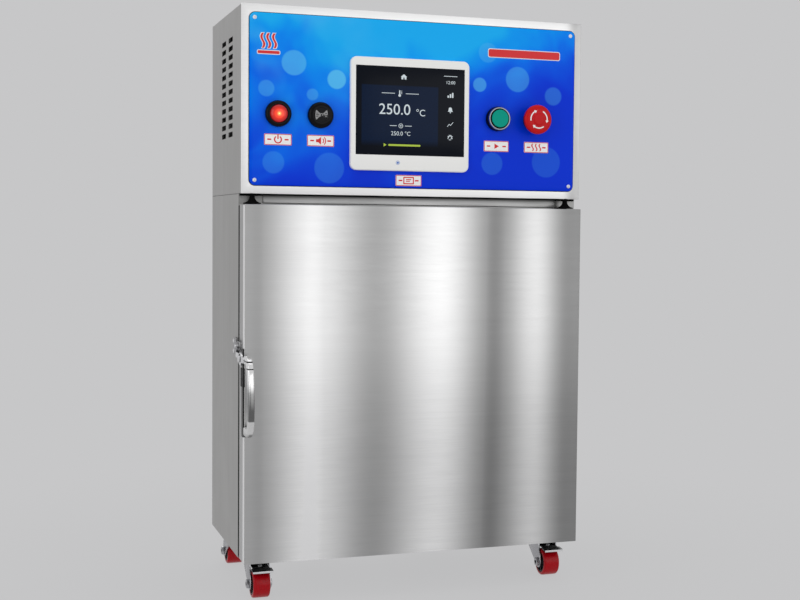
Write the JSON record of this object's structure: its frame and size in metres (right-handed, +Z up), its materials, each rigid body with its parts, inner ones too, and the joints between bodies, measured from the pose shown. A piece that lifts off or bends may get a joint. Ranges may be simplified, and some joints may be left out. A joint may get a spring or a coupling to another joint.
{
  "type": "dry heat sterilizer",
  "caption": "Free-standing hot air oven on swivel casters: insulated chamber behind a side-hinged latched door, with a control box and touch screen on top.",
  "frame": {"origin": "on the floor, under the middle of the object's outer box", "axes": "+X to the right seen from the front, +Y from the door to the back, +Z up"},
  "size_m": [0.5078, 0.34, 0.819],
  "materials": {
    "brushed_steel": "brushed satin",
    "door_steel": "fine vertical brush, bright",
    "liner_steel": "smooth",
    "fascia": "pale, fine grain",
    "wire": "bright",
    "chrome": "polished",
    "zinc": "zinc plated",
    "steel_part": "plain",
    "wool": "mineral wool",
    "heater": "heat darkened",
    "motor": "dark enamel",
    "graphic": "glossy printed",
    "hmi_plastic": "off-white, fine grain",
    "screen": "dark display glass",
    "black_plastic": "black",
    "dark_plastic": "black",
    "red_lens": "clear red",
    "green_cap": "green",
    "red_cap": "red",
    "label": "white with a red border",
    "black_metal": "black",
    "rubber": "silicone seal",
    "brass": "bronze",
    "tyre": "red polyurethane",
    "hub": "dark",
    "psu": "perforated case",
    "relay": "pale"
  },
  "bodies": {
    "cabinet": {"cabinet_shell": "brushed_steel", "base_pan": "steel_part", "cabinet_back_cover": "brushed_steel", "front_frame": "brushed_steel", "chamber": "liner_steel", "insulation": "wool", "shelf_ladders": "liner_steel", "shelves": "wire", "heaters": "heater", "temperature_probe": "steel_part", "fan_motor": "motor", "air_baffle": "liner_steel", "control_box_shell": "brushed_steel", "control_box_back_cover": "brushed_steel", "front_fascia": "fascia", "graphic_panel": "graphic", "hmi_housing": "hmi_plastic", "hmi_screen": "screen", "lamp_body": "black_plastic", "lamp_lens": "red_lens", "buzzer_body": "black_plastic", "start_button_bezel": "chrome", "start_button_body": "black_plastic", "estop_collar": "dark_plastic", "contact_blocks": "dark_plastic", "label_plates": "label", "fasteners": "zinc", "cable_gland": "dark_plastic", "power_supply": "psu", "solid_state_relay": "relay", "keeper_bracket": "chrome", "upper_pivots": "black_metal", "lower_hinge_bracket": "steel_part", "caster_plates": "zinc"},
    "circulation_fan": {"fan_rotor": "liner_steel"},
    "start_button": {"start_button_cap": "green_cap"},
    "stop_stem": {"estop_stem": "steel_part"},
    "stop_head": {"estop_head": "red_cap"},
    "door": {"door_shell": "door_steel", "door_inner_panel": "liner_steel", "door_insulation": "wool", "door_gasket": "rubber", "door_bushes": "brass", "latch_base": "black_metal"},
    "latch": {"latch_lever": "chrome"},
    "roller": {"keeper_roller": "steel_part"},
    "caster_front_left": {"caster_fork_front_left": "zinc"},
    "wheel_front_left": {"caster_tyre_front_left": "tyre", "caster_hub_front_left": "hub"},
    "pedal_left": {"brake_pedal_left": "zinc"},
    "caster_front_right": {"caster_fork_front_right": "zinc"},
    "wheel_front_right": {"caster_tyre_front_right": "tyre", "caster_hub_front_right": "hub"},
    "pedal_right": {"brake_pedal_right": "zinc"},
    "caster_rear_left": {"caster_fork_rear_left": "zinc"},
    "wheel_rear_left": {"caster_tyre_rear_left": "tyre", "caster_hub_rear_left": "hub"},
    "caster_rear_right": {"caster_fork_rear_right": "zinc"},
    "wheel_rear_right": {"caster_tyre_rear_right": "tyre", "caster_hub_rear_right": "hub"}
  },
  "joints": [
    {"name": "door_hinge", "type": "hinge", "parent": "cabinet", "child": "door", "pos_m": [0.2329, -0.089, 0.3], "axis": [0, 0, 1], "range_deg": [0, 95]},
    {"name": "latch_lever_turn", "type": "hinge", "parent": "door", "child": "latch", "pos_m": [-0.2499, -0.114, 0.34], "axis": [-1, 0, 0], "range_deg": [0, 45]},
    {"name": "keeper_roller_spin", "type": "hinge", "parent": "cabinet", "child": "roller", "pos_m": [-0.2501, -0.086, 0.3553], "axis": [1, 0, 0], "continuous": true},
    {"name": "fan_spin", "type": "hinge", "parent": "cabinet", "child": "circulation_fan", "pos_m": [0.0039, 0.015, 0.48], "axis": [0, 0, 1], "continuous": true},
    {"name": "start_button_press", "type": "slide", "parent": "cabinet", "child": "start_button", "axis": [0, 1, 0], "range_m": [0, 0.003], "stiffness_N_per_m": 1000},
    {"name": "stop_push", "type": "slide", "parent": "cabinet", "child": "stop_stem", "axis": [0, 1, 0], "range_m": [0, 0.005]},
    {"name": "stop_twist", "type": "hinge", "parent": "stop_stem", "child": "stop_head", "pos_m": [0.1779, -0.112, 0.676], "axis": [0, 1, 0], "range_deg": [0, 30], "stiffness_Nm_per_rad": 0.05},
    {"name": "caster_swivel_front_left", "type": "hinge", "parent": "cabinet", "child": "caster_front_left", "pos_m": [-0.2141, -0.047, 0.05], "axis": [0, 0, 1], "continuous": true},
    {"name": "wheel_spin_front_left", "type": "hinge", "parent": "caster_front_left", "child": "wheel_front_left", "pos_m": [-0.2141, -0.067, 0.02], "axis": [1, 0, 0], "continuous": true},
    {"name": "brake_pedal_left_press", "type": "hinge", "parent": "caster_front_left", "child": "pedal_left", "pos_m": [-0.2141, -0.048, 0.044], "axis": [1, 0, 0], "range_deg": [0, 4]},
    {"name": "caster_swivel_front_right", "type": "hinge", "parent": "cabinet", "child": "caster_front_right", "pos_m": [0.2219, -0.047, 0.05], "axis": [0, 0, 1], "continuous": true},
    {"name": "wheel_spin_front_right", "type": "hinge", "parent": "caster_front_right", "child": "wheel_front_right", "pos_m": [0.2219, -0.067, 0.02], "axis": [1, 0, 0], "continuous": true},
    {"name": "brake_pedal_right_press", "type": "hinge", "parent": "caster_front_right", "child": "pedal_right", "pos_m": [0.2219, -0.048, 0.044], "axis": [1, 0, 0], "range_deg": [0, 4]},
    {"name": "caster_swivel_rear_left", "type": "hinge", "parent": "cabinet", "child": "caster_rear_left", "pos_m": [-0.2141, 0.12, 0.05], "axis": [0, 0, 1], "continuous": true},
    {"name": "wheel_spin_rear_left", "type": "hinge", "parent": "caster_rear_left", "child": "wheel_rear_left", "pos_m": [-0.2141, 0.14, 0.02], "axis": [1, 0, 0], "continuous": true},
    {"name": "caster_swivel_rear_right", "type": "hinge", "parent": "cabinet", "child": "caster_rear_right", "pos_m": [0.2219, 0.12, 0.05], "axis": [0, 0, 1], "continuous": true},
    {"name": "wheel_spin_rear_right", "type": "hinge", "parent": "caster_rear_right", "child": "wheel_rear_right", "pos_m": [0.2219, 0.14, 0.02], "axis": [1, 0, 0], "continuous": true}
  ]
}
